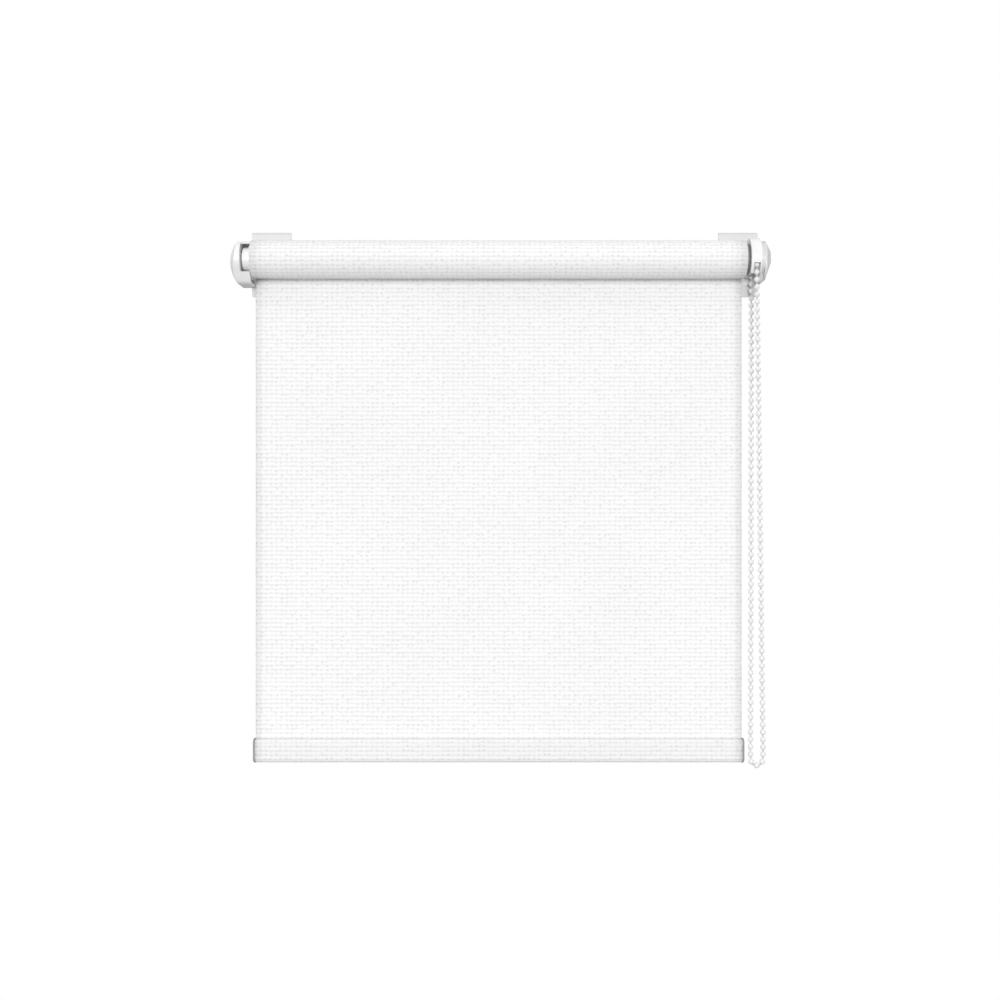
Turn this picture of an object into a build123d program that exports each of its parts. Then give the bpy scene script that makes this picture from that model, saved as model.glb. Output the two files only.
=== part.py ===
from build123d import *
import os
from math import cos, pi, radians, sin

# A small chain-operated roller blind that hangs on a window sash by two sheet-metal hooks.
# Millimetres. +X runs along the roller towards the chain, +Y into the window, +Z up.
# The origin is on the line where the sash's top edge meets its room-side face,
# midway along the cloth.

os.makedirs("parts", exist_ok=True)

# Cloth and roller
fabric_width = 400.0
fabric_thickness = 0.7
roll_radius = 15.3
tube_radius = 12.5
tube_wall = 1.0
tape_thickness = 0.2
key_width = 1.6
key_height = 1.3
end = fabric_width / 2
tube_bore = tube_radius - tube_wall

# The window sash that the hooks clasp, and the hooks
sash_gap = 18.0
hook_width = 32.5
tongue_width = 26.0
hook_thickness = 1.5
pad_thickness = 1.0
pad_height = 42.0
pad_middle = -25.0
hook_lip = 22.0
hook_left_x = -187.7
hook_right_x = 197.9
hook_drop = 51.9

# The roller's axis, from the origin
axis_y = -22.9
axis_z = -24.5

# Brackets: all depths and heights below are measured from the roller's axis
cheek_thickness = 3.0
cheek_radius = 14.3
flange_front = 18.4
flange_back = -axis_y - pad_thickness - hook_thickness
flange_top = 12.0
left_cheek_x = -211.0
left_bottom = -20.0
rim_end_x = -200.6
rim_wall = 1.6
mouth_height = 22.4
right_cheek_x = 210.8
right_bottom = -18.5
cover_wall = 1.6
screw_radius = 1.7
screw_head = 3.3
screw_heights = (5.5, -12.5)
left_screw_x = -190.0
right_screw_x = 198.5
running_gap = 0.05

# Clutch
chain_x = 207.25
bead_radius = 2.25
bead_pitch = 6.0
pocket_count = 12
pitch_radius = pocket_count * bead_pitch / (2 * pi)
cord_radius = 0.6
housing_radius = 17.2
housing_bore = 15.0
housing_start_x = 202.5
housing_wall = 1.0
housing_bottom = -12.8
core_radius = 5.0
nose_radius = 4.0
hub_start_x = 167.0
sleeve_radius = 7.9
spring_wire = 0.5

# Idle end
collar_radius = 9.5
flange_radius = tube_radius - 0.3
collar_end_x = -207.0
pin_radius = 3.0
pin_tip_x = -212.5
pin_head_x = -190.0
chamber_radius = 4.7
chamber_end_x = -168.0

# Hanging cloth and bottom bar
sheet_front = roll_radius + 0.3
sheet_middle = sheet_front + fabric_thickness / 2
bar_height = 20.0
bar_depth = 8.0
bar_top = -391.3
bar_middle = bar_top - bar_height / 2

roller_axis = Axis((0, axis_y, axis_z), (1, 0, 0))
along = Plane(origin=(0, axis_y, axis_z), x_dir=(1, 0, 0), z_dir=(0, -1, 0))


def across(x):
    """Section plane square to the roller at x: local x is depth, local y is height."""
    return Plane(origin=(x, axis_y, axis_z), x_dir=(0, 1, 0), z_dir=(1, 0, 0))


def place(x, depth, height):
    """A point given by its distances from the roller's axis."""
    return Vector(x, axis_y + depth, axis_z + height)


def save(piece, name):
    piece.label = name
    export_step(piece, f"parts/{name}.step")


# ---------------------------------------------------------------- hooks and pads

def make_hook(centre_x, screw_x):
    """Folded plate: front on the room side, and a narrower tongue over the sash and down behind it."""
    middle = hook_thickness / 2
    front = -pad_thickness - middle
    back = sash_gap + middle
    with BuildPart() as hook:
        with BuildSketch(Plane(origin=(centre_x, 0, 0), x_dir=(0, 1, 0), z_dir=(1, 0, 0))):
            with BuildLine():
                FilletPolyline(
                    (front, -hook_drop), (front, middle), (back, middle), (back, -hook_lip), radius=1.6
                )
            trace(line_width=hook_thickness)
        extrude(amount=hook_width / 2, both=True)
        side = (hook_width + tongue_width) / 4
        cut_start = -pad_thickness
        cut_stop = sash_gap + 2 * hook_thickness
        cut_middle = (cut_start + cut_stop) / 2
        with BuildSketch(Plane.XY.offset(hook_thickness)):
            with Locations((centre_x - side, cut_middle), (centre_x + side, cut_middle)):
                Rectangle((hook_width - tongue_width) / 2, cut_stop - cut_start)
        extrude(amount=-hook_thickness - hook_lip, mode=Mode.SUBTRACT)
        fillet(hook.edges().filter_by(Axis.Y).group_by(Axis.Z)[0], radius=1.0)
        front_face = Plane(origin=(0, front - middle, 0), x_dir=(1, 0, 0), z_dir=(0, -1, 0))
        with BuildSketch(front_face):
            with Locations(*[(screw_x, axis_z + height) for height in screw_heights]):
                Circle(screw_radius)
        extrude(amount=-hook_thickness, mode=Mode.SUBTRACT)
    return hook.part


def make_pad(centre_x):
    """Self-adhesive foam between the hook's front plate and the sash."""
    pad_face = Plane(origin=(centre_x, 0, pad_middle), x_dir=(1, 0, 0), z_dir=(0, -1, 0))
    with BuildPart() as pad:
        with BuildSketch(pad_face):
            RectangleRounded(hook_width - 6.0, pad_height, radius=2.0)
        extrude(amount=pad_thickness)
    return pad.part


save(make_hook(hook_left_x, left_screw_x), "hanger_left")
save(make_hook(hook_right_x, right_screw_x), "hanger_right")
save(make_pad(hook_left_x), "hanger_pad_left")
save(make_pad(hook_right_x), "hanger_pad_right")


# ---------------------------------------------------------------- brackets

def cheek_outline(bottom, toe_radius):
    """Rounded nose in front, rounded toe below, flat back where the flange joins."""
    Circle(cheek_radius)
    with Locations((1.0, bottom + toe_radius)):
        Circle(toe_radius)
    with Locations(((flange_front + flange_back) / 2, (flange_top + bottom) / 2)):
        Rectangle(flange_back - flange_front, flange_top - bottom)
    make_hull()


def screw_locations(screw_x):
    """Screw centres on the flange's front face, heads towards the room."""
    face = Plane(origin=(0, axis_y + flange_front, axis_z), x_dir=(1, 0, 0), z_dir=(0, -1, 0))
    return [face * Location((screw_x, height, 0)) for height in screw_heights]


left_snap_points = [(-6.5, 4.0), (9.5, -10.0)]
right_snap_points = [(-7.5, 7.5), (9.5, -8.5)]
housing_peg_points = [(-7.5, -7.5), (8.5, 9.5)]
snap_radius = 1.5
flange_depth = flange_back - flange_front

with BuildPart() as bracket_left:
    with BuildSketch(across(left_cheek_x)):
        cheek_outline(left_bottom, 7.0)
    extrude(amount=cheek_thickness)
    rim_start_x = left_cheek_x + cheek_thickness
    with BuildSketch(across(rim_start_x)):
        cheek_outline(left_bottom, 7.0)
        offset(amount=-rim_wall, mode=Mode.SUBTRACT)
    extrude(amount=rim_end_x - rim_start_x)
    # The mouth in the rim's front, through which the idle end drops in
    with BuildSketch(across(rim_start_x)):
        with Locations((-8.0, 0)):
            Rectangle(16.0, mouth_height)
    extrude(amount=rim_end_x - rim_start_x, mode=Mode.SUBTRACT)
    # Flange that reaches behind the cloth to the hook
    with BuildSketch(across(left_cheek_x)):
        with Locations(((flange_front + flange_back) / 2, (flange_top + left_bottom) / 2)):
            Rectangle(flange_depth, flange_top - left_bottom)
    extrude(amount=left_screw_x + 11.0 - left_cheek_x)
    flange_corners = bracket_left.edges().filter_by(Axis.Y).group_by(Axis.X)[-1]
    fillet(flange_corners, radius=3.0)
    # Bearing boss and the pin's bore
    with BuildSketch(across(rim_start_x)):
        Circle(5.0)
        Circle(pin_radius + running_gap, mode=Mode.SUBTRACT)
    extrude(amount=0.6)
    with BuildSketch(across(left_cheek_x)):
        Circle(pin_radius + running_gap)
        with Locations(*left_snap_points):
            Circle(snap_radius)
    extrude(amount=cheek_thickness, mode=Mode.SUBTRACT)
    with Locations(*screw_locations(left_screw_x)):
        CounterSinkHole(screw_radius + 0.1, screw_head + 0.1, depth=flange_depth)
save(bracket_left.part, "bracket_left")

with BuildPart() as bracket_right:
    with BuildSketch(across(right_cheek_x)):
        cheek_outline(right_bottom, 5.0)
    extrude(amount=cheek_thickness)
    with BuildSketch(across(right_cheek_x + cheek_thickness)):
        with Locations(((flange_front + flange_back) / 2, (flange_top + right_bottom) / 2)):
            Rectangle(flange_depth, flange_top - right_bottom)
    extrude(amount=right_screw_x - 8.0 - right_cheek_x - cheek_thickness)
    flange_corners = bracket_right.edges().filter_by(Axis.Y).group_by(Axis.X)[0]
    fillet(flange_corners, radius=3.0)
    # Square seat of the clutch core, and the holes for the cover's and the housing's pegs
    with BuildSketch(across(right_cheek_x)):
        Rectangle(7.0, 7.0)
        with Locations(*right_snap_points, *housing_peg_points):
            Circle(snap_radius)
    extrude(amount=cheek_thickness, mode=Mode.SUBTRACT)
    with Locations(*screw_locations(right_screw_x)):
        CounterSinkHole(screw_radius + 0.1, screw_head + 0.1, depth=flange_depth)
save(bracket_right.part, "bracket_right")


def make_pegs(x, length, points):
    """Pegs that snap into the cheek's holes."""
    with BuildPart() as pegs:
        with BuildSketch(across(x)):
            with Locations(*points):
                Circle(snap_radius - running_gap)
        extrude(amount=length)
    return pegs.part


dome_depth = 6.7
dome_radius = 27.5
dome_centre = place(left_cheek_x - dome_depth + dome_radius, 2.0, -2.5)

with BuildPart() as dome_cavity:
    with BuildSketch(across(left_cheek_x)):
        cheek_outline(left_bottom, 7.0)
        offset(amount=-cover_wall, mode=Mode.REPLACE)
    extrude(amount=-dome_depth)
    with Locations(dome_centre):
        Sphere(dome_radius - cover_wall, mode=Mode.INTERSECT)

left_pegs = make_pegs(left_cheek_x + 2.5, -2.5 - 3.6, left_snap_points)
with BuildPart() as bracket_cover_left:
    with BuildSketch(across(left_cheek_x)):
        cheek_outline(left_bottom, 7.0)
    extrude(amount=-dome_depth)
    with Locations(dome_centre):
        Sphere(dome_radius, mode=Mode.INTERSECT)
    add(dome_cavity.part, mode=Mode.SUBTRACT)
    add(left_pegs)
save(bracket_cover_left.part, "bracket_cover_left")

facet_depth = 6.1
skirt = 1.6
cover_base_x = right_cheek_x + cheek_thickness


def facet_outline(inset):
    with Locations((2.4, -1.4)):
        RectangleRounded(33.6 - 2 * inset, 31.6 - 2 * inset, radius=13.0 - inset)


def make_facets(depth, inset):
    """Blunt cap: a short skirt of the cheek's outline, then four facets up to a small flat."""
    with BuildPart() as facets:
        with BuildSketch(across(cover_base_x)):
            facet_outline(inset)
        extrude(amount=skirt)
        with BuildSketch(across(cover_base_x + skirt)):
            facet_outline(inset)
        with BuildSketch(across(cover_base_x + depth)):
            with Locations((2.2, 0.85)):
                RectangleRounded(16.0 - inset, 10.4 - inset, radius=3.0)
        loft()
    return facets.part


facet_shell = make_facets(facet_depth, 0)
facet_cavity = make_facets(facet_depth - cover_wall, cover_wall)
right_pegs = make_pegs(cover_base_x - 2.5, 2.5 + 3.6, right_snap_points)
with BuildPart() as bracket_cover_right:
    add(facet_shell)
    add(facet_cavity, mode=Mode.SUBTRACT)
    add(right_pegs)
save(bracket_cover_right.part, "bracket_cover_right")


def make_screws(screw_x):
    """Countersunk screws from the flange's face to the hook's back face."""
    length = flange_depth + hook_thickness
    slot = Plane(origin=(screw_x, axis_y + flange_front, axis_z), x_dir=(1, 0, 0), z_dir=(0, -1, 0))
    with BuildPart() as screws:
        for height in screw_heights:
            shank = slot * Location((0, height, 0))
            with BuildSketch(Plane(shank)):
                Circle(screw_radius - running_gap)
            extrude(amount=-length)
            with BuildSketch(Plane(shank)):
                Circle(screw_head)
            extrude(amount=-(screw_head - screw_radius), taper=45)
            with BuildSketch(Plane(shank)):
                Rectangle(3.6, 0.8)
                Rectangle(0.8, 3.6)
            extrude(amount=-0.9, mode=Mode.SUBTRACT)
    return screws.part


save(make_screws(left_screw_x), "bracket_screws_left")
save(make_screws(right_screw_x), "bracket_screws_right")


# ---------------------------------------------------------------- roller tube and wound cloth

def make_grooves(start_x, stop_x):
    """Key groove and the flutes between the gripping ribs of a piece that sits in the tube."""
    with BuildPart() as grooves:
        with BuildSketch(across(start_x)):
            with Locations((0, -tube_bore + key_height / 2)):
                Rectangle(key_width + 0.3, key_height + 0.6)
        extrude(amount=stop_x - start_x)
        with BuildSketch(across(start_x + 4.0)):
            with PolarLocations(tube_bore + 0.4, 8, start_angle=22.5):
                Circle(2.4)
        extrude(amount=stop_x - start_x - 8.0)
    return grooves.part


with BuildPart() as roller_tube:
    with BuildSketch(across(-end)):
        Circle(tube_radius)
        Circle(tube_bore, mode=Mode.SUBTRACT)
        with Locations((0, -tube_bore + key_height / 2 - 0.1)):
            Rectangle(key_width, key_height)
    extrude(amount=fabric_width)
save(roller_tube.part, "roller_tube")

tape_end_angle = 50
tape_radius = tube_radius + tape_thickness
with BuildPart() as tube_tape:
    with BuildSketch(across(-end + 2.0)):
        with BuildLine():
            inner_edge = CenterArc((0, 0), tube_radius, 0, tape_end_angle)
            outer_edge = CenterArc((0, 0), tape_radius, 0, tape_end_angle)
            Line(inner_edge @ 0, outer_edge @ 0)
            Line(inner_edge @ 1, outer_edge @ 1)
        make_face()
    extrude(amount=fabric_width - 4.0)
save(tube_tape.part, "tube_tape")

with BuildPart() as fabric_roll:
    with BuildSketch(across(-end)):
        Circle(roll_radius)
        Circle(tape_radius, mode=Mode.SUBTRACT)
    extrude(amount=fabric_width)
save(fabric_roll.part, "fabric_roll")


# ---------------------------------------------------------------- idle end

plug_start_x = -166.0
plug_grooves = make_grooves(-end, plug_start_x)
with BuildPart() as idle_plug:
    with BuildSketch(along):
        with BuildLine():
            Polyline(
                (collar_end_x, pin_radius + 0.06),
                (collar_end_x, collar_radius - 0.8),
                (collar_end_x + 0.8, collar_radius),
                (-end - 1.2, collar_radius),
                (-end - 1.2, flange_radius),
                (-end, flange_radius),
                (-end, tube_bore),
                (plug_start_x - 1.5, tube_bore),
                (plug_start_x, tube_bore - 1.5),
                (plug_start_x, 6.2),
                (chamber_end_x, 6.2),
                (chamber_end_x, chamber_radius),
                (pin_head_x, chamber_radius),
                (pin_head_x, pin_radius + 0.06),
                close=True,
            )
        make_face()
    revolve(axis=roller_axis)
    add(plug_grooves, mode=Mode.SUBTRACT)
save(idle_plug.part, "idle_plug")

with BuildPart() as plug_cap:
    with BuildSketch(across(chamber_end_x)):
        Circle(6.1)
        Circle(2.6, mode=Mode.SUBTRACT)
    extrude(amount=plug_start_x - chamber_end_x)
save(plug_cap.part, "plug_cap")

with BuildPart() as idle_pin:
    with BuildSketch(along):
        with BuildLine():
            Polyline(
                (pin_tip_x, 0),
                (pin_tip_x, pin_radius - 0.7),
                (pin_tip_x + 0.7, pin_radius),
                (pin_head_x, pin_radius),
                (pin_head_x, 4.55),
                (pin_head_x + 2.5, 4.55),
                (pin_head_x + 2.5, 2.2),
                (pin_head_x + 14.0, 2.2),
                (pin_head_x + 14.0, 0),
                close=True,
            )
        make_face()
    revolve(axis=roller_axis)
save(idle_pin.part, "idle_pin")


def make_coil(start_x, stop_x, mean_radius, wire, turns):
    """Round-wire coil about the roller's axis."""
    length = stop_x - start_x
    with BuildPart() as coil:
        with BuildLine() as centre_line:
            Helix(length / turns, length, mean_radius, center=place(start_x, 0, 0), direction=(1, 0, 0))
        with BuildSketch(Plane(origin=centre_line.line @ 0, z_dir=centre_line.line % 0)):
            Circle(wire)
        sweep(path=centre_line.line, is_frenet=True)
    return coil.part


save(make_coil(pin_head_x + 3.0, chamber_end_x - 0.5, 3.5, 0.35, 8), "pin_spring")
save(make_coil(174.2, 181.1, core_radius + 0.1 + spring_wire, spring_wire, 6), "wrap_spring_inner")
save(make_coil(184.2, 191.1, core_radius + 0.1 + spring_wire, spring_wire, 6), "wrap_spring_outer")


# ---------------------------------------------------------------- chain clutch

with BuildPart() as clutch_core:
    with BuildSketch(along):
        with BuildLine():
            Polyline(
                (162.0, 0),
                (162.0, nose_radius - 0.6),
                (162.6, nose_radius),
                (165.4, nose_radius),
                (165.4, 3.2),
                (166.5, 3.2),
                (166.5, nose_radius),
                (171.0, nose_radius),
                (171.0, core_radius),
                (right_cheek_x, core_radius),
                (right_cheek_x, 0),
                close=True,
            )
        make_face()
    revolve(axis=roller_axis)
    with BuildSketch(across(right_cheek_x)):
        Rectangle(7.0, 7.0)
    extrude(amount=cheek_thickness)
    with BuildSketch(across(right_cheek_x + cheek_thickness)):
        Circle(1.5)
    extrude(amount=-8.0, mode=Mode.SUBTRACT)
save(clutch_core.part, "clutch_core")

with BuildPart() as core_clip:
    with BuildSketch(across(165.5)):
        Circle(6.2)
        Circle(3.25, mode=Mode.SUBTRACT)
        with Locations((0, -5.0)):
            Rectangle(4.4, 6.0, mode=Mode.SUBTRACT)
    extrude(amount=0.9)
save(core_clip.part, "core_clip")

with BuildPart() as core_screw:
    with BuildSketch(across(cover_base_x)):
        Circle(1.45)
    extrude(amount=-7.0)
    with BuildSketch(across(cover_base_x)):
        Circle(4.6)
    extrude(amount=1.8)
    fillet(core_screw.faces().sort_by(Axis.X)[-1].edges(), radius=0.8)
    with BuildSketch(across(cover_base_x + 1.8)):
        Rectangle(3.4, 0.8)
        Rectangle(0.8, 3.4)
    extrude(amount=-0.9, mode=Mode.SUBTRACT)
save(core_screw.part, "core_screw")

hub_grooves = make_grooves(hub_start_x, end)
with BuildPart() as drive_hub:
    with BuildSketch(along):
        with BuildLine():
            Polyline(
                (hub_start_x, nose_radius + running_gap),
                (hub_start_x, tube_bore - 1.5),
                (hub_start_x + 1.5, tube_bore),
                (end, tube_bore),
                (end, tube_radius),
                (end + 2.0, tube_radius),
                (end + 2.0, sleeve_radius + 0.1),
                (hub_start_x + 3.0, sleeve_radius + 0.1),
                (hub_start_x + 3.0, nose_radius + running_gap),
                close=True,
            )
        make_face()
    revolve(axis=roller_axis)
    add(hub_grooves, mode=Mode.SUBTRACT)
    # Inside rib that the wrap springs' ends and the driving lug bear on
    with BuildSketch(across(hub_start_x + 3.0)):
        with Locations((0, 7.4)):
            Rectangle(3.0, 1.8)
    extrude(amount=22.0)
save(drive_hub.part, "drive_hub")

disc_start_x = chain_x - 2.4
disc_stop_x = chain_x + 2.4
tip_radius = pitch_radius + 0.4
pocket_angles = [2 * pi * pocket / pocket_count for pocket in range(pocket_count)]
pocket_centres = [place(chain_x, pitch_radius * cos(a), pitch_radius * sin(a)) for a in pocket_angles]
with BuildPart() as sprocket:
    with BuildSketch(along):
        with BuildLine():
            Polyline(
                (194.0, core_radius + running_gap),
                (194.0, sleeve_radius),
                (disc_start_x, sleeve_radius),
                (disc_start_x, tip_radius - 0.6),
                (disc_start_x + 0.6, tip_radius),
                (chain_x - 1.0, tip_radius),
                (chain_x - 1.0, pitch_radius - 0.9),
                (chain_x + 1.0, pitch_radius - 0.9),
                (chain_x + 1.0, tip_radius),
                (disc_stop_x - 0.6, tip_radius),
                (disc_stop_x, tip_radius - 0.6),
                (disc_stop_x, core_radius + running_gap),
                close=True,
            )
        make_face()
    revolve(axis=roller_axis)
    with Locations(*pocket_centres):
        Sphere(bead_radius + 0.15, mode=Mode.SUBTRACT)
    # Driving lug that reaches in between the wrap springs' ends
    with BuildSketch(across(174.0)):
        with Locations((0, -7.1)):
            Rectangle(3.6, 1.2)
    extrude(amount=20.0)
save(sprocket.part, "sprocket")


def flat_underside():
    """Sketch of what is cut away below the housing's flat underside."""
    with Locations((0, housing_bottom - housing_radius / 2)):
        Rectangle(2 * housing_radius, housing_radius)


plate_x = right_cheek_x - housing_wall
with BuildPart() as clutch_housing:
    with BuildSketch(across(housing_start_x)):
        Circle(housing_radius)
    extrude(amount=right_cheek_x - housing_start_x)
    fillet(clutch_housing.faces().sort_by(Axis.X)[0].edges(), radius=0.8)
    with BuildSketch(across(housing_start_x)):
        Circle(sleeve_radius + 0.6)
    extrude(amount=housing_wall, mode=Mode.SUBTRACT)
    with BuildSketch(across(housing_start_x + housing_wall)):
        Circle(housing_bore)
    extrude(amount=right_cheek_x - housing_start_x - housing_wall, mode=Mode.SUBTRACT)
    with BuildSketch(across(plate_x)):
        Circle(housing_bore + 1.0)
    extrude(amount=housing_wall, mode=Mode.SUBTRACT)
    # Flat underside, open between the walls so that both strands of the chain hang free
    with BuildSketch(across(housing_start_x)):
        flat_underside()
    extrude(amount=right_cheek_x - housing_start_x, mode=Mode.SUBTRACT)
    # Two mouths for the chain, low at the front and at the back
    with BuildSketch(across(chain_x - 2.6)):
        with Locations((-12.9, -11.55), (12.9, -11.55)):
            Rectangle(8.6, 13.1)
    extrude(amount=5.2, mode=Mode.SUBTRACT)
save(clutch_housing.part, "clutch_housing")

plate_pegs = make_pegs(right_cheek_x, 2.0, housing_peg_points)
with BuildPart() as housing_plate:
    with BuildSketch(across(plate_x)):
        Circle(housing_bore + 0.95)
        Circle(core_radius + running_gap, mode=Mode.SUBTRACT)
    extrude(amount=housing_wall)
    with BuildSketch(across(plate_x)):
        flat_underside()
    extrude(amount=housing_wall, mode=Mode.SUBTRACT)
    add(plate_pegs)
save(housing_plate.part, "housing_plate")


# ---------------------------------------------------------------- ball chain

# The loop's route from the front of the chain wheel, down, round the bottom and up to the back
chain_route = [
    (207.25, -11.46, 0.0),
    (207.4, -11.3, -13.0),
    (208.8, -9.2, -90.0),
    (211.9, -4.2, -255.0),
    (214.3, -0.6, -385.0),
    (214.8, -0.1, -407.4),
    (211.9, 0.0, -410.7),
    (207.3, 0.0, -410.9),
    (204.3, 0.2, -407.9),
    (204.6, 0.8, -385.0),
    (205.6, 4.4, -255.0),
    (206.7, 9.3, -90.0),
    (207.2, 11.35, -13.0),
    (207.25, 11.46, 0.0),
]


def corner_radii(route):
    """The largest arc that fits at each inner point of the route."""
    radii = []
    for before, corner, after in zip(route, route[1:], route[2:]):
        run_in = corner - before
        run_out = after - corner
        turn = radians(run_in.get_angle(run_out))
        shorter = min(run_in.length, run_out.length)
        radii.append(0.45 * shorter * cos(turn / 2) / sin(turn / 2))
    return radii


def make_tube(path):
    with BuildPart() as tube:
        with BuildSketch(Plane(origin=path @ 0, z_dir=path % 0)):
            Circle(cord_radius)
        sweep(path=path)
    return tube.part


route_points = [place(*point) for point in chain_route]
route_radii = corner_radii(route_points)
with BuildLine() as hanging_run:
    FilletPolyline(*route_points, radius=route_radii)
hanging_line = hanging_run.wire()
with BuildLine(across(chain_x)) as wrapped_run:
    CenterArc((0, 0), pitch_radius, 0, 180)
wrapped_line = wrapped_run.wire()

hanging_cord = make_tube(hanging_line)
wrapped_cord = make_tube(wrapped_line)
save(Compound([hanging_cord, wrapped_cord]), "chain_cord")

hanging_steps = round(hanging_line.length / bead_pitch)
wrapped_steps = pocket_count // 2
bead_centres = [hanging_line @ (step / hanging_steps) for step in range(hanging_steps + 1)]
bead_centres += [wrapped_line @ (step / wrapped_steps) for step in range(1, wrapped_steps)]
with BuildPart() as chain_beads:
    with Locations(*bead_centres):
        Sphere(bead_radius)
save(chain_beads.part, "chain_beads")

print("chain: hanging length", round(hanging_line.length, 2), "beads", len(bead_centres))
print("chain: bead pitch", round(hanging_line.length / hanging_steps, 4))
print("chain: tube radii", [round(radius, 1) for radius in route_radii])
section = pi * cord_radius ** 2
print("chain: volume over section times length", round(hanging_cord.volume / (section * hanging_line.length), 4))


# ---------------------------------------------------------------- hanging cloth and bottom bar

with BuildPart() as fabric_sheet:
    with BuildSketch(across(-end)):
        with Locations((sheet_middle, bar_top / 2)):
            Rectangle(fabric_thickness, -bar_top)
    extrude(amount=fabric_width)
save(fabric_sheet.part, "fabric_sheet")


def flat_oval(grow):
    """Bar section: height and depth of the finished hem, grown or shrunk all round."""
    with Locations((sheet_middle, bar_middle)):
        SlotOverall(bar_height + 2 * grow, bar_depth + 2 * grow, rotation=90)


with BuildPart() as hem_pocket:
    with BuildSketch(across(-end)):
        flat_oval(0)
    extrude(amount=fabric_width)
    with BuildSketch(across(-end)):
        flat_oval(-fabric_thickness)
    extrude(amount=fabric_width, mode=Mode.SUBTRACT)
save(hem_pocket.part, "hem_pocket")

bar_gap = 0.1
bar_wall = 1.0
bar_end = end - 0.5
with BuildPart() as bottom_bar:
    with BuildSketch(across(-bar_end)):
        flat_oval(-fabric_thickness - bar_gap)
    extrude(amount=2 * bar_end)
    with BuildSketch(across(-bar_end)):
        flat_oval(-fabric_thickness - bar_gap - bar_wall)
    extrude(amount=2 * bar_end, mode=Mode.SUBTRACT)
save(bottom_bar.part, "bottom_bar")


def make_bar_cap(side):
    """End cap: a domed lens outside the cloth, and a tongue inside the hollow bar."""
    with BuildPart() as cap:
        with BuildSketch(across(side * end)):
            flat_oval(0.2)
        extrude(amount=side * 1.9)
        outer_face = cap.faces().sort_by(Axis.X)[-1 if side > 0 else 0]
        fillet(outer_face.edges(), radius=1.4)
        with BuildSketch(across(side * end)):
            flat_oval(-fabric_thickness - bar_gap - bar_wall - 0.1)
        extrude(amount=-side * 12.0)
    return cap.part


save(make_bar_cap(-1), "bar_cap_left")
save(make_bar_cap(1), "bar_cap_right")
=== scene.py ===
"""Looks for a small chain-operated roller blind: cloth, plastic, metal, ball chain, studio and camera."""
import math

import bpy
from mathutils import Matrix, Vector


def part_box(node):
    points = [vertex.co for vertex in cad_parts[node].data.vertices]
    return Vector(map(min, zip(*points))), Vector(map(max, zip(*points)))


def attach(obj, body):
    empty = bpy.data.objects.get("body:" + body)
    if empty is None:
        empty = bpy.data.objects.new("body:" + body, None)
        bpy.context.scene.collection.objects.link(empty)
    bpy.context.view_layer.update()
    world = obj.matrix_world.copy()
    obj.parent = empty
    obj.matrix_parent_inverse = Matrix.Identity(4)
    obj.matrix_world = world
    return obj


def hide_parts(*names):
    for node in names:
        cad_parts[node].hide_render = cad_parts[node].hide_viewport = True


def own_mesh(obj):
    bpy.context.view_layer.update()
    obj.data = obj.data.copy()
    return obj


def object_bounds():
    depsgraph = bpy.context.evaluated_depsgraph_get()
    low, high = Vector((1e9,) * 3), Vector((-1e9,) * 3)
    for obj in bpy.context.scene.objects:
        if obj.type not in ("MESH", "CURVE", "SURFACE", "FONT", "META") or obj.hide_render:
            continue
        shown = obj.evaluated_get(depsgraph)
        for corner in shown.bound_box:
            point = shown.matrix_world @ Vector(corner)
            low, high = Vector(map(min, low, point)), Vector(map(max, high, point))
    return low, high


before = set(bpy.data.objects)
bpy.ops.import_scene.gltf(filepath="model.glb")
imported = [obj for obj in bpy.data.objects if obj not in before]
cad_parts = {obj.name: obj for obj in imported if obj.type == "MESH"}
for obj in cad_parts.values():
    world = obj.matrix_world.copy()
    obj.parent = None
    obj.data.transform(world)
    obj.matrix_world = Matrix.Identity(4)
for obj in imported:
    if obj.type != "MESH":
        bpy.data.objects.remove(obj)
cad_low, cad_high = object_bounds()

# ---------------------------------------------------------------- sizes read from the frame
roll_low, roll_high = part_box("fabric_roll")
sheet_low, sheet_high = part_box("fabric_sheet")
hem_low, hem_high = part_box("hem_pocket")

AXIS_Y = (roll_low[1] + roll_high[1]) / 2
AXIS_Z = (roll_low[2] + roll_high[2]) / 2
AXIS = (AXIS_Y, AXIS_Z)
ROLL_RADIUS = (roll_high[2] - roll_low[2]) / 2
HALF_WIDTH = roll_high[0]
CLOTH_THICKNESS = sheet_high[1] - sheet_low[1]
HALF_THICK = CLOTH_THICKNESS / 2
SHEET_Y = (sheet_low[1] + sheet_high[1]) / 2
DROP = sheet_high[2] - sheet_low[2]

# The weave: thick ribs across the cloth, with a painted shadow at each warp thread as dots in the furrows
RIB_PITCH = 0.003488
DOT_PITCH = 0.004157
RIB_STEPS = 8
RIB_RELIEF = 0.00017
RIB_WOBBLE = 0.00006
THINNEST = 0.00003
CLOTH_COLUMNS = 40
ROLL_COLUMNS = 24

# The wound cloth: its outer turns show, so they are meshed finely enough for the ribs
FINE_TURNS = 2.1
FINE_TURN_STEPS = RIB_STEPS * 29
PLAIN_TURN_STEPS = 60

# The cloth's lead over the back of the roll
LEAD_ANGLE = math.radians(75)
LEAD_STEPS = 60
LEAD_THINNEST = 0.05

# Ball chain: 138 pitches hang free, and the wheel has a pocket every 30 degrees
CHAIN_X = 0.20725
PITCH_RADIUS = 0.01146
BEAD_RADIUS = 0.00225
CORD_DIAMETER = 0.0012
HANGING_PITCHES = 138
POCKET_DEGREES = 30


# ---------------------------------------------------------------- small mesh helpers

def add_object(name, data):
    piece = bpy.data.objects.new(name, data)
    bpy.context.scene.collection.objects.link(piece)
    return piece


def mesh_object(name, points, faces, smooth=True):
    mesh = bpy.data.meshes.new(name)
    mesh.from_pydata(points, [], faces)
    mesh.update()
    mesh.polygons.foreach_set("use_smooth", [smooth] * len(mesh.polygons))
    return add_object(name, mesh)


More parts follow.
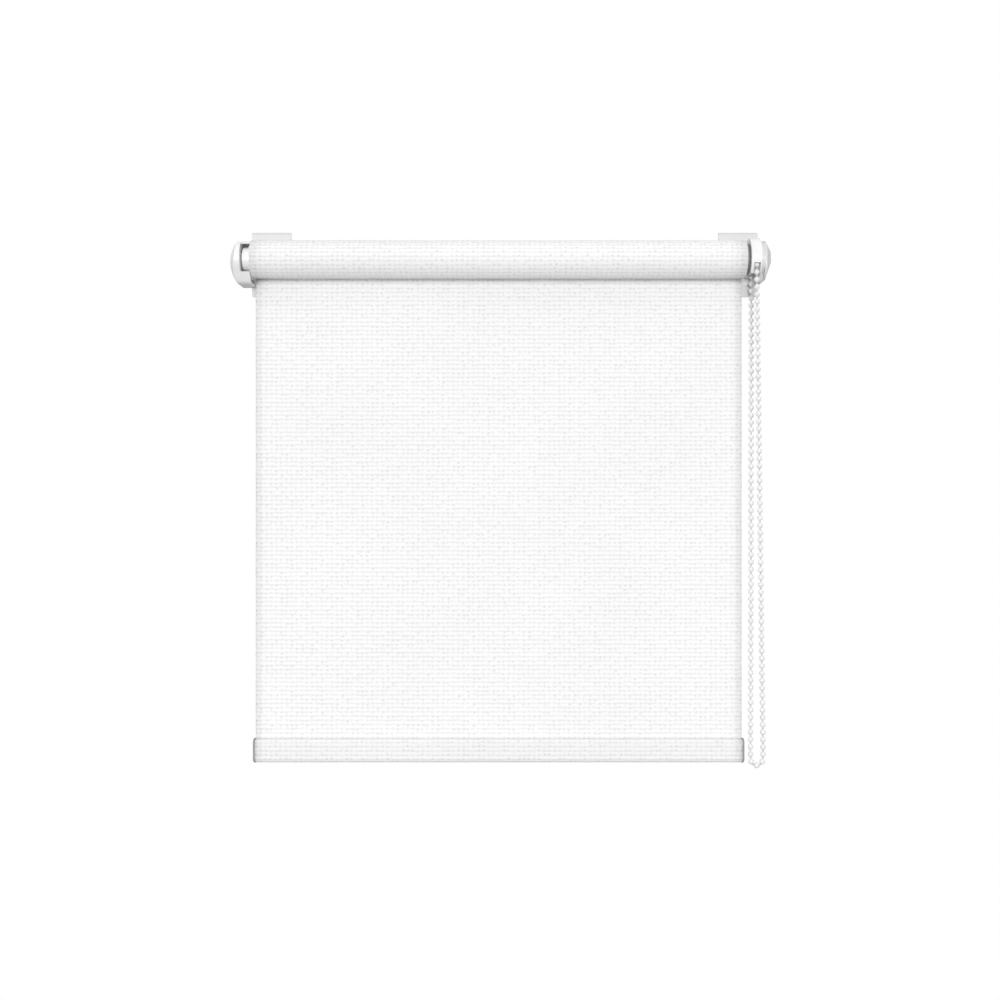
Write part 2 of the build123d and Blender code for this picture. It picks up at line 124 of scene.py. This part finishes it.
def set_weave(piece, across, along):
    """Stores how far across and along the cloth each vertex lies, in dots and in ribs."""
    layer = piece.data.uv_layers.new(name="weave")
    for loop in piece.data.loops:
        vertex = loop.vertex_index
        layer.data[loop.index].uv = (across[vertex] / DOT_PITCH, along[vertex] / RIB_PITCH)


# ---------------------------------------------------------------- materials

class Nodes:
    """Short names for building one material's nodes."""

    def __init__(self, name):
        self.material = bpy.data.materials.new(name)
        self.material.use_nodes = True
        self.tree = self.material.node_tree
        self.shader = self.tree.nodes["Principled BSDF"]

    def add(self, kind, **settings):
        node = self.tree.nodes.new(kind)
        for key, value in settings.items():
            setattr(node, key, value)
        return node

    def link(self, source, target):
        self.tree.links.new(source, target)

    def put(self, value, socket):
        if isinstance(value, (int, float)):
            socket.default_value = value
        else:
            self.link(value, socket)

    def maths(self, operation, first, second=0.0, third=0.0):
        node = self.add("ShaderNodeMath", operation=operation)
        for value, socket in zip((first, second, third), node.inputs):
            self.put(value, socket)
        return node.outputs[0]

    def fade(self, value, low, high, start=0.0, stop=1.0):
        """Smooth step of value from low to high."""
        node = self.add("ShaderNodeMapRange", interpolation_type="SMOOTHSTEP")
        self.put(value, node.inputs["Value"])
        node.inputs["From Min"].default_value = low
        node.inputs["From Max"].default_value = high
        node.inputs["To Min"].default_value = start
        node.inputs["To Max"].default_value = stop
        return node.outputs["Result"]

    def mix(self, share, first, second):
        node = self.add("ShaderNodeMix", data_type="RGBA")
        self.put(share, node.inputs["Factor"])
        for value, socket in ((first, node.inputs["A"]), (second, node.inputs["B"])):
            if isinstance(value, tuple):
                socket.default_value = (*value, 1.0)
            else:
                self.link(value, socket)
        return node.outputs["Result"]

    def noise(self, coordinates, scale, detail=2.0, roughness=0.5):
        node = self.add("ShaderNodeTexNoise")
        self.link(coordinates, node.inputs["Vector"])
        node.inputs["Scale"].default_value = scale
        node.inputs["Detail"].default_value = detail
        node.inputs["Roughness"].default_value = roughness
        return node.outputs["Fac"]

    def place(self):
        return self.add("ShaderNodeTexCoord").outputs["Object"]

    def bump(self, height, distance, strength=1.0):
        node = self.add("ShaderNodeBump")
        node.inputs["Strength"].default_value = strength
        node.inputs["Distance"].default_value = distance
        self.link(height, node.inputs["Height"])
        self.link(node.outputs["Normal"], self.shader.inputs["Normal"])

    def set(self, **values):
        names = {"rough": "Roughness", "metal": "Metallic", "gloss": "Specular IOR Level",
                 "coat": "Coat Weight", "coat_rough": "Coat Roughness", "sheen": "Sheen Weight",
                 "sheen_rough": "Sheen Roughness", "scatter": "Subsurface Weight"}
        for key, value in values.items():
            self.shader.inputs[names[key]].default_value = value


def cloth_material(name, painted_shade_tone):
    """White cloth of thick ribs, painted grey in the furrows as shade, with darker dots of painted shadow at
    the warp threads.
    """
    n = Nodes(name)
    weave = n.add("ShaderNodeUVMap", uv_map="weave").outputs["UV"]
    parts = n.add("ShaderNodeSeparateXYZ")
    n.link(weave, parts.inputs[0])
    across, along = parts.outputs["X"], parts.outputs["Y"]

    # 0 in the middle of a furrow, 0.5 on a rib's crest
    saw = n.maths("FRACT", n.maths("ADD", along, 0.5))
    off_furrow = n.maths("ABSOLUTE", n.maths("SUBTRACT", saw, 0.5))
    furrow = n.fade(off_furrow, 0.07, 0.24, 1.0, 0.0)

    # The painted shade of each furrow's line comes and goes along the cloth
    row = n.maths("FLOOR", n.maths("ADD", along, 0.5))
    run = n.add("ShaderNodeCombineXYZ")
    n.link(n.maths("MULTIPLY", across, 0.33), run.inputs["X"])
    n.link(n.maths("MULTIPLY", row, 7.31), run.inputs["Y"])
    line = n.fade(n.noise(run.outputs[0], 1.0, 3.0, 0.6), 0.36, 0.66)

    # Dots of painted shadow: one in each cell, jittered, of uneven size and depth
    cells = n.add("ShaderNodeTexVoronoi", voronoi_dimensions="2D", feature="F1")
    jitter = 0.34
    cells.inputs["Scale"].default_value = 1.0
    cells.inputs["Randomness"].default_value = jitter
    shifted = n.add("ShaderNodeVectorMath", operation="ADD")
    n.link(weave, shifted.inputs[0])
    shifted.inputs[1].default_value = (jitter / 2, jitter / 2, 0)
    n.link(shifted.outputs[0], cells.inputs["Vector"])
    chance = n.add("ShaderNodeSeparateColor")
    n.link(cells.outputs["Color"], chance.inputs[0])
    size = n.maths("MULTIPLY_ADD", chance.outputs[0], 0.10, 0.30)
    shadow_dot = n.fade(n.maths("DIVIDE", cells.outputs["Distance"], size), 0.30, 1.20, 1.0, 0.0)
    depth = n.maths("MULTIPLY_ADD", chance.outputs[1], 0.52, 0.48)
    shadow_dot = n.maths("MULTIPLY", shadow_dot, depth)

    thread = n.add("ShaderNodeCombineXYZ")
    n.link(n.maths("MULTIPLY", across, 1.5), thread.inputs["X"])
    n.link(n.maths("MULTIPLY", along, 9.0), thread.inputs["Y"])
    fibre = n.noise(thread.outputs[0], 2.2, 3.0, 0.7)
    cloud = n.noise(weave, 0.035, 2.0)

    # Painted shade: how far the colour goes to grey, in the furrows and at the dots
    shade = n.maths("MULTIPLY", furrow, n.maths("MULTIPLY_ADD", line, 0.19, 0.10))
    shade = n.maths("MAXIMUM", shade, n.maths("MULTIPLY", shadow_dot, 0.42))
    # The tone argument darkens the whole cloth as painted shade; 1.0 leaves it as it is
    duller, brighter = (0.935 * painted_shade_tone,) * 3, (0.958 * painted_shade_tone,) * 3
    colour = n.mix(n.fade(cloud, 0.3, 0.7), duller, brighter)
    colour = n.mix(n.fade(fibre, 0.25, 0.75, 0.0, 0.10), colour, (0.82, 0.82, 0.83))
    # The grey of the painted shade in the furrows and dots
    colour = n.mix(shade, colour, (0.52, 0.52, 0.54))
    n.link(colour, n.shader.inputs["Base Color"])
    n.set(rough=0.86, gloss=0.18, sheen=0.12, sheen_rough=0.5)

    lowered = n.maths("MULTIPLY_ADD", shadow_dot, -1.0, n.maths("MULTIPLY", fibre, 0.25))
    n.bump(n.maths("MULTIPLY_ADD", furrow, -0.35, lowered), 0.00022, 0.8)
    return n.material


def plastic_material(name, colour, rough, coat=0.15, grain=0.00002, scatter=0.0):
    """Moulded plastic: a faint spark-eroded grain and slightly uneven gloss."""
    n = Nodes(name)
    place = n.place()
    cloud = n.noise(place, 90.0, 3.0)
    darker = tuple(c * 0.955 for c in colour)
    n.link(n.mix(n.fade(cloud, 0.3, 0.7), darker, colour), n.shader.inputs["Base Color"])
    n.link(n.fade(n.noise(place, 420.0), 0.2, 0.8, rough - 0.05, rough + 0.07), n.shader.inputs["Roughness"])
    n.set(coat=coat, coat_rough=0.25)
    if scatter:
        n.set(scatter=scatter)
        n.shader.inputs["Subsurface Radius"].default_value = (0.002, 0.002, 0.002)
    n.bump(n.noise(place, 2600.0, 4.0, 0.65), grain, 0.6)
    return n.material


def painted_steel():
    """Powder coat: fine orange peel over flat steel."""
    n = Nodes("powder_coat")
    place = n.place()
    n.link(n.mix(n.noise(place, 60.0), (0.66, 0.66, 0.66), (0.70, 0.70, 0.70)), n.shader.inputs["Base Color"])
    n.set(rough=0.48, coat=0.1, coat_rough=0.3)
    n.bump(n.noise(place, 1400.0, 2.0), 0.00004, 0.5)
    return n.material


def metal_material(name, colour, rough, stretch=(1.0, 30.0, 30.0)):
    """Drawn or rolled metal: fine lines along the piece."""
    n = Nodes(name)
    lines = n.add("ShaderNodeMapping")
    lines.inputs["Scale"].default_value = stretch
    n.link(n.place(), lines.inputs["Vector"])
    streak = n.noise(lines.outputs[0], 60.0, 4.0, 0.6)
    darker = tuple(c * 0.8 for c in colour)
    n.link(n.mix(streak, darker, colour), n.shader.inputs["Base Color"])
    n.link(n.fade(streak, 0.2, 0.8, rough, rough + 0.15), n.shader.inputs["Roughness"])
    n.set(metal=1.0)
    n.bump(streak, 0.00002, 0.4)
    return n.material


def foam_material():
    """Closed-cell foam: small round pores."""
    n = Nodes("foam_pores")
    pores = n.add("ShaderNodeTexVoronoi")
    n.link(n.place(), pores.inputs["Vector"])
    pores.inputs["Scale"].default_value = 1800.0
    pit = n.fade(pores.outputs["Distance"], 0.1, 0.6)
    n.link(n.mix(pit, (0.42, 0.42, 0.42), (0.62, 0.62, 0.62)), n.shader.inputs["Base Color"])
    n.set(rough=0.9, gloss=0.2)
    n.bump(pit, 0.0002, 0.8)
    return n.material


def cord_material():
    """Braided cord: crossed diagonal strands, darkened to grey as painted shade between the balls."""
    n = Nodes("cord_braid_painted_shade")
    wave = n.add("ShaderNodeTexWave", wave_type="BANDS", bands_direction="DIAGONAL")
    n.link(n.place(), wave.inputs["Vector"])
    wave.inputs["Scale"].default_value = 900.0
    n.link(n.mix(wave.outputs["Fac"], (0.46, 0.46, 0.46), (0.62, 0.62, 0.62)), n.shader.inputs["Base Color"])
    n.set(rough=0.8)
    n.bump(wave.outputs["Fac"], 0.0001, 0.6)
    return n.material


CLOTH = cloth_material("cloth_weave", 1.0)
# The hem's cloth: the same cloth darkened to 0.95 as painted shade where it curves round the bar
HEM_CLOTH_SHADED = cloth_material("hem_weave_painted_shade", 0.95)
WHITE = plastic_material("white_plastic_grain", (0.93, 0.93, 0.93), 0.36)
# The right bracket and its cover: the same white plastic as the left, painted grey as shade
WHITE_PLASTIC_SHADED = plastic_material("white_plastic_grain_painted_shade", (0.77, 0.77, 0.77), 0.30, coat=0.35)
# Dark plastic for the clutch core and drive hub: the hub's dark collar is painted shade in the gap beside the
# roll
NYLON_PAINTED_SHADE = plastic_material("nylon_grain_painted_shade", (0.20, 0.21, 0.22), 0.55, coat=0.0, grain=0.00005)
CAP_GREY = plastic_material("cap_grey_grain", (0.33, 0.33, 0.33), 0.45, coat=0.1)
BEAD = plastic_material("bead_plastic", (0.90, 0.90, 0.90), 0.28, coat=0.35, scatter=0.08)
TAPE = plastic_material("tape_film", (0.72, 0.70, 0.62), 0.25, coat=0.4)
STEEL = painted_steel()
ZINC = metal_material("zinc_plate", (0.72, 0.72, 0.73), 0.30, (8.0, 8.0, 8.0))
WIRE = metal_material("spring_wire", (0.45, 0.45, 0.46), 0.32, (6.0, 6.0, 6.0))
ALUMINIUM = metal_material("drawn_aluminium", (0.80, 0.81, 0.82), 0.28)
FOAM = foam_material()
CORD_SHADED = cord_material()

NODE_MATERIALS = {
    "hanger_left": STEEL, "hanger_right": STEEL,
    "hanger_pad_left": FOAM, "hanger_pad_right": FOAM,
    "bracket_left": WHITE, "bracket_right": WHITE_PLASTIC_SHADED,
    "bracket_cover_left": WHITE, "bracket_cover_right": WHITE_PLASTIC_SHADED,
    "bracket_screws_left": ZINC, "bracket_screws_right": ZINC,
    "clutch_housing": WHITE, "housing_plate": WHITE,
    "clutch_core": NYLON_PAINTED_SHADE, "core_screw": ZINC, "core_clip": WIRE,
    "roller_tube": ALUMINIUM, "tube_tape": TAPE,
    "idle_plug": WHITE, "plug_cap": WHITE, "idle_pin": WHITE, "pin_spring": WIRE,
    "drive_hub": NYLON_PAINTED_SHADE, "sprocket": WHITE,
    "wrap_spring_inner": WIRE, "wrap_spring_outer": WIRE,
    "bottom_bar": ALUMINIUM, "bar_cap_left": CAP_GREY, "bar_cap_right": CAP_GREY,
}
for node_name, finish in NODE_MATERIALS.items():
    node_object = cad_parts[node_name]
    for material_slot in node_object.material_slots:
        material_slot.material = finish


# ---------------------------------------------------------------- cloth

def rib_relief(along):
    """How far the cloth's face dips at this distance along it: broad round ribs, narrow furrows."""
    return RIB_RELIEF * (1 - abs(math.sin(math.pi * along / RIB_PITCH)) ** 0.55)


def cloth_strip(name, rows, columns, weave):
    """A closed strip of ribbed cloth. Each row is its distance along the cloth, an origin and a normal
    in the section across the roller, and how far the back and front faces stand from that origin."""
    points, across, along = [], [], []
    for front_side in (True, False):
        for distance, origin, normal, back, front in rows:
            row_number = math.floor(distance / RIB_PITCH)
            for column in range(columns + 1):
                x = HALF_WIDTH * (2 * column / columns - 1)
                wobble = RIB_WOBBLE * math.sin(x * 61.0 + 17.0 * row_number)
                relief = rib_relief(distance + wobble)
                face = front - relief
                if not front_side:
                    face = min(back + relief, face - THINNEST)
                points.append((x, origin[0] + face * normal[0], origin[1] + face * normal[1]))
                across.append(x)
                along.append(distance)
    stride = columns + 1
    under = len(rows) * stride
    faces = []
    for row in range(len(rows) - 1):
        for column in range(columns):
            a = row * stride + column
            b = under + a
            faces.append((a, a + 1, a + stride + 1, a + stride))
            faces.append((b, b + stride, b + stride + 1, b + 1))
        a = row * stride
        faces.append((a, a + stride, under + a + stride, under + a))
        a += columns
        faces.append((a, under + a, under + a + stride, a + stride))
    last = (len(rows) - 1) * stride
    for column in range(columns):
        faces.append((column, under + column, under + column + 1, column + 1))
        a = last + column
        faces.append((a, a + 1, under + a + 1, under + a))
    piece = mesh_object(name, points, faces)
    # The cut edges are flat, so that they don't shade the faces beside them
    for polygon in piece.data.polygons:
        polygon.use_smooth = abs(polygon.normal.x) < 0.5
    set_weave(piece, across, along)
    piece.data.materials.append(weave)
    return piece


def hanging_rows():
    """Straight down from the roller's height to the hem."""
    steps = round(DROP / RIB_PITCH * RIB_STEPS)
    drops = [DROP * step / steps for step in range(steps + 1)]
    return [(drop, (SHEET_Y, AXIS_Z - drop), (-1.0, 0.0), -HALF_THICK, HALF_THICK) for drop in drops]


def wound_rows():
    """A true spiral inwards from the back of the roll, over the top. Its outer end is thinned out
    under the hanging cloth, so the roll stays round as it turns."""
    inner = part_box("tube_tape")[1][1] - AXIS_Y
    turns = (ROLL_RADIUS - inner) / CLOTH_THICKNESS
    rows = []
    angle, distance = 0.0, 0.0
    while angle < 2 * math.pi * turns:
        settled = ROLL_RADIUS - CLOTH_THICKNESS * angle / (2 * math.pi)
        outer = min(settled + CLOTH_THICKNESS, ROLL_RADIUS)
        rows.append((-distance, AXIS, (math.cos(angle), math.sin(angle)), settled, outer))
        turn_steps = FINE_TURN_STEPS if angle < 2 * math.pi * FINE_TURNS else PLAIN_TURN_STEPS
        step = 2 * math.pi / turn_steps
        angle += step
        distance += (settled + HALF_THICK) * step
    return rows


def lead_rows():
    """The stretch that lies over the back of the roll before it hangs free, thinned out on top."""
    hanging_radius = SHEET_Y - AXIS_Y
    rows = []
    for step in range(LEAD_STEPS + 1):
        share = step / LEAD_STEPS
        angle = LEAD_ANGLE * (1 - share)
        back = ROLL_RADIUS + (hanging_radius - HALF_THICK - ROLL_RADIUS) * share ** 2
        front = back + CLOTH_THICKNESS * max(LEAD_THINNEST, share ** 1.3)
        rows.append((-hanging_radius * angle, AXIS, (math.cos(angle), math.sin(angle)), back, front))
    return rows


def hem_rows():
    """Round the bottom bar: from the middle of its top, down the back and up the front."""
    centre_y = (hem_low[1] + hem_high[1]) / 2
    centre_z = (hem_low[2] + hem_high[2]) / 2
    radius = (hem_high[1] - hem_low[1]) / 2 - HALF_THICK
    reach = (hem_high[2] - hem_low[2]) / 2 - HALF_THICK - radius
    quarter = math.pi * radius / 2
    # Each stretch: its length, first and last angle, and centre height (None where it runs straight)
    stretches = [(quarter, 90, 0, reach), (2 * reach, 0, 0, None), (2 * quarter, 0, -180, -reach),
                 (2 * reach, -180, -180, None), (quarter, -180, -270, reach)]
    rows, done = [], 0.0
    for length, start, stop, level in stretches:
        steps = max(6, round(length / RIB_PITCH * RIB_STEPS))
        first = 0 if not rows else 1
        for step in range(first, steps + 1):
            share = step / steps
            angle = math.radians(start + (stop - start) * share)
            rise = level
            if level is None:
                rise = reach * (1 - 2 * share) if start == 0 else reach * (2 * share - 1)
            normal = (math.cos(angle), math.sin(angle))
            rows.append((done + length * share, (centre_y, centre_z + rise), normal,
                         radius - HALF_THICK, radius + HALF_THICK))
        done += length
    return rows


def row_length(rows):
    """The strip's length along the cloth."""
    return abs(rows[-1][0] - rows[0][0])


hanging = cloth_strip("cloth_hanging", hanging_rows(), CLOTH_COLUMNS, CLOTH)
wound = cloth_strip("cloth_roll", wound_rows(), ROLL_COLUMNS, CLOTH)
lead = cloth_strip("cloth_lead", lead_rows(), CLOTH_COLUMNS, CLOTH)
hem = cloth_strip("cloth_hem", hem_rows(), CLOTH_COLUMNS, HEM_CLOTH_SHADED)

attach(hanging, "frame")
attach(lead, "frame")
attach(wound, "roller")
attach(hem, "bar")
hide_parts("fabric_sheet")
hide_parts("fabric_roll")
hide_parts("hem_pocket")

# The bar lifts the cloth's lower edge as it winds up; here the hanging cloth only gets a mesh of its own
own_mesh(hanging)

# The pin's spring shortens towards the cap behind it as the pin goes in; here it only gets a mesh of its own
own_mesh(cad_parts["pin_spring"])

row_length(wound_rows())
row_length(hem_rows())


# ---------------------------------------------------------------- ball chain

# The loop's route in metres from the roller's axis: across, depth, height
CHAIN_ROUTE = [
    (0.20725, -0.01146, 0.0),
    (0.2074, -0.0113, -0.013),
    (0.2088, -0.0092, -0.090),
    (0.2119, -0.0042, -0.255),
    (0.2143, -0.0006, -0.385),
    (0.2148, -0.0001, -0.4074),
    (0.2119, 0.0, -0.4107),
    (0.2073, 0.0, -0.4109),
    (0.2043, 0.0002, -0.4079),
    (0.2046, 0.0008, -0.385),
    (0.2056, 0.0044, -0.255),
    (0.2067, 0.0093, -0.090),
    (0.2072, 0.01135, -0.013),
    (0.20725, 0.01146, 0.0),
]


def cord_curve(name, points, diameter):
    curve = bpy.data.curves.new(name, "CURVE")
    curve.dimensions = "3D"
    curve.bevel_depth = diameter / 2
    curve.bevel_resolution = 3
    curve.resolution_u = 24
    curve.use_fill_caps = True
    spline = curve.splines.new("NURBS")
    spline.points.add(len(points) - 1)
    for point, co in zip(spline.points, points):
        point.co = (*co, 1.0)
    spline.order_u = 3
    spline.use_endpoint_u = True
    return add_object(name, curve)


def line_points(curve_object):
    """The points that the spline really follows."""
    bare = curve_object.data.copy()
    bare.bevel_depth = 0
    holder = add_object("bare_line", bare)
    mesh = bpy.data.meshes.new_from_object(holder.evaluated_get(bpy.context.evaluated_depsgraph_get()))
    line = [vertex.co.copy() for vertex in mesh.vertices]
    bpy.data.objects.remove(holder)
    bpy.data.curves.remove(bare)
    bpy.data.meshes.remove(mesh)
    return line


def spaced_points(line, count):
    """count + 1 points, evenly spaced along the line, with the direction at each."""
    lengths = [0.0]
    for before, after in zip(line, line[1:]):
        lengths.append(lengths[-1] + (after - before).length)
    result = []
    segment = 0
    for k in range(count + 1):
        target = lengths[-1] * k / count
        while segment < len(line) - 2 and lengths[segment + 1] < target:
            segment += 1
        run = lengths[segment + 1] - lengths[segment]
        share = (target - lengths[segment]) / run
        direction = (line[segment + 1] - line[segment]).normalized()
        result.append((line[segment].lerp(line[segment + 1], share), direction))
    return result


def bead_profile():
    """One moulded ball's outline: round, with small necks where the cord enters."""
    profile = [(-1.10, 0.30), (-1.00, 0.34), (-0.93, 0.40)]
    profile += [(-math.cos(math.radians(a)), math.sin(math.radians(a))) for a in range(32, 149, 9)]
    profile += [(0.93, 0.40), (1.00, 0.34), (1.10, 0.30)]
    return profile


def ball_chain(name, places, around=20):
    """All the balls of the chain as one mesh of separate closed balls."""
    profile = bead_profile()
    points, faces = [], []
    for centre, direction in places:
        side = direction.orthogonal().normalized()
        other = direction.cross(side)
        base = len(points)
        for along, radius in profile:
            for k in range(around):
                angle = 2 * math.pi * k / around
                ring = side * math.cos(angle) + other * math.sin(angle)
                points.append(centre + direction * (along * BEAD_RADIUS) + ring * (radius * BEAD_RADIUS))
        rings = len(profile)
        for ring in range(rings - 1):
            for k in range(around):
                a = base + ring * around + k
                b = base + ring * around + (k + 1) % around
                faces.append((a, b, b + around, a + around))
        faces.append(tuple(base + k for k in reversed(range(around))))
        faces.append(tuple(base + (rings - 1) * around + k for k in range(around)))
    return mesh_object(name, points, faces)


route = [(x, AXIS_Y + depth, AXIS_Z + height) for x, depth, height in CHAIN_ROUTE]
hanging_cord = cord_curve("chain_core", route, CORD_DIAMETER)
hanging_places = spaced_points(line_points(hanging_cord), HANGING_PITCHES)


def wheel_place(angle):
    """A point over the chain wheel, and the chain's direction there."""
    depth = AXIS_Y + PITCH_RADIUS * math.cos(angle)
    height = AXIS_Z + PITCH_RADIUS * math.sin(angle)
    return Vector((CHAIN_X, depth, height)), Vector((0, -math.sin(angle), math.cos(angle)))


def wheel_cord():
    """The cord's half turn over the chain wheel."""
    points, faces = [], []
    steps, around = 36, 10
    for k in range(steps + 1):
        centre, direction = wheel_place(math.pi * k / steps)
        out = (centre - Vector((CHAIN_X, AXIS_Y, AXIS_Z))).normalized()
        for j in range(around):
            angle = 2 * math.pi * j / around
            ring = out * math.cos(angle) + Vector((1, 0, 0)) * math.sin(angle)
            points.append(centre + ring * (CORD_DIAMETER / 2))
    for k in range(steps):
        for j in range(around):
            a = k * around + j
            b = k * around + (j + 1) % around
            faces.append((a, a + around, b + around, b))
    faces.append(tuple(range(around)))
    faces.append(tuple(reversed(range(steps * around, (steps + 1) * around))))
    return mesh_object("chain_core_wrapped", points, faces)


wrapped_cord = wheel_cord()
wheel_places = [wheel_place(math.radians(angle)) for angle in range(POCKET_DEGREES, 180, POCKET_DEGREES)]
beads = ball_chain("chain_balls", hanging_places + wheel_places)
beads.data.materials.append(BEAD)
for cord_piece in (hanging_cord, wrapped_cord):
    cord_piece.data.materials.append(CORD_SHADED)
    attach(cord_piece, "frame")
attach(beads, "frame")
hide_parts("chain_cord")
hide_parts("chain_cord")
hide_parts("chain_beads")


# ---------------------------------------------------------------- studio

def glow_material(name, colour, strength):
    material = bpy.data.materials.new(name)
    material.use_nodes = True
    nodes = material.node_tree.nodes
    nodes.clear()
    glow = nodes.new("ShaderNodeEmission")
    glow.inputs["Color"].default_value = (*colour, 1.0)
    glow.inputs["Strength"].default_value = strength
    output = nodes.new("ShaderNodeOutputMaterial")
    material.node_tree.links.new(glow.outputs[0], output.inputs["Surface"])
    return material


def hide_from_light(backdrop):
    """The camera sees it, but it neither lights nor shades the object."""
    backdrop.visible_diffuse = False
    backdrop.visible_glossy = False
    backdrop.visible_transmission = False
    backdrop.visible_shadow = False


def studio_plane(name, centre, size, glow):
    """A level sheet below the object that only the camera sees."""
    half = size / 2
    corners = [(-half, -half, 0), (half, -half, 0), (half, half, 0), (-half, half, 0)]
    plane = mesh_object(name, corners, [(0, 1, 2, 3)], smooth=False)
    plane.location = centre
    plane.data.materials.append(glow)
    hide_from_light(plane)


def studio_dome(name, radius, glow):
    """A pale surround that only the camera sees, on every side."""
    bpy.ops.mesh.primitive_uv_sphere_add(segments=48, ring_count=24, radius=radius)
    dome = bpy.context.object
    dome.name = name
    dome.data.materials.append(glow)
    hide_from_light(dome)


FLOOR_DROP = 0.16
FLOOR_SIZE = 20.0
DOME_RADIUS = 12.0
PALE = glow_material("pale_studio", (1.0, 1.0, 1.0), 1.0)
studio_plane("floor", (0, 0, cad_low[2] - FLOOR_DROP), FLOOR_SIZE, PALE)
studio_dome("surround", DOME_RADIUS, PALE)

# The sky is dimmer from below than from above
SKY_BELOW = 0.34
SKY_ABOVE = 0.74
SKY_BAND = 0.6

world = bpy.data.worlds.new("studio")
bpy.context.scene.world = world
world.use_nodes = True
sky_nodes = world.node_tree.nodes
sky = sky_nodes["Background"]
sky.inputs["Color"].default_value = (1.0, 1.0, 1.0, 1.0)
direction = sky_nodes.new("ShaderNodeTexCoord")
upward = sky_nodes.new("ShaderNodeSeparateXYZ")
brightness = sky_nodes.new("ShaderNodeMapRange")
brightness.inputs["From Min"].default_value = -SKY_BAND
brightness.inputs["From Max"].default_value = SKY_BAND
brightness.inputs["To Min"].default_value = SKY_BELOW
brightness.inputs["To Max"].default_value = SKY_ABOVE
world.node_tree.links.new(direction.outputs["Generated"], upward.inputs[0])
world.node_tree.links.new(upward.outputs["Z"], brightness.inputs["Value"])
world.node_tree.links.new(brightness.outputs["Result"], sky.inputs["Strength"])


def soft_sun(name, direction, strength, spread):
    """A wide, distant light that shines along the direction."""
    lamp = bpy.data.lights.new(name, "SUN")
    lamp.energy = strength
    lamp.angle = spread
    light = add_object(name, lamp)
    light.rotation_euler = Vector(direction).to_track_quat("-Z", "Y").to_euler()


# Broad light from the room side, at the blind's own height
SUN_DIRECTION = (0.05, 1.0, -0.02)
SUN_STRENGTH = 1.62
SUN_SPREAD = math.radians(16)
soft_sun("front", SUN_DIRECTION, SUN_STRENGTH, SUN_SPREAD)

bpy.context.scene.view_settings.view_transform = "Standard"
bpy.context.scene.view_settings.look = "None"

# ---------------------------------------------------------------- camera
LENS = 48.78
SENSOR = 36.0
DISTANCE = 1.1
EYE_SIDE = 0.0011
EYE_DROP = 0.1953
camera = bpy.data.cameras.new("camera")
camera.sensor_width = SENSOR
camera.lens = LENS
camera.clip_start = 0.01
eye = add_object("camera", camera)
eye.location = (EYE_SIDE, AXIS_Y - DISTANCE, AXIS_Z - EYE_DROP)
eye.rotation_euler = (math.pi / 2, 0, 0)
bpy.context.scene.camera = eye
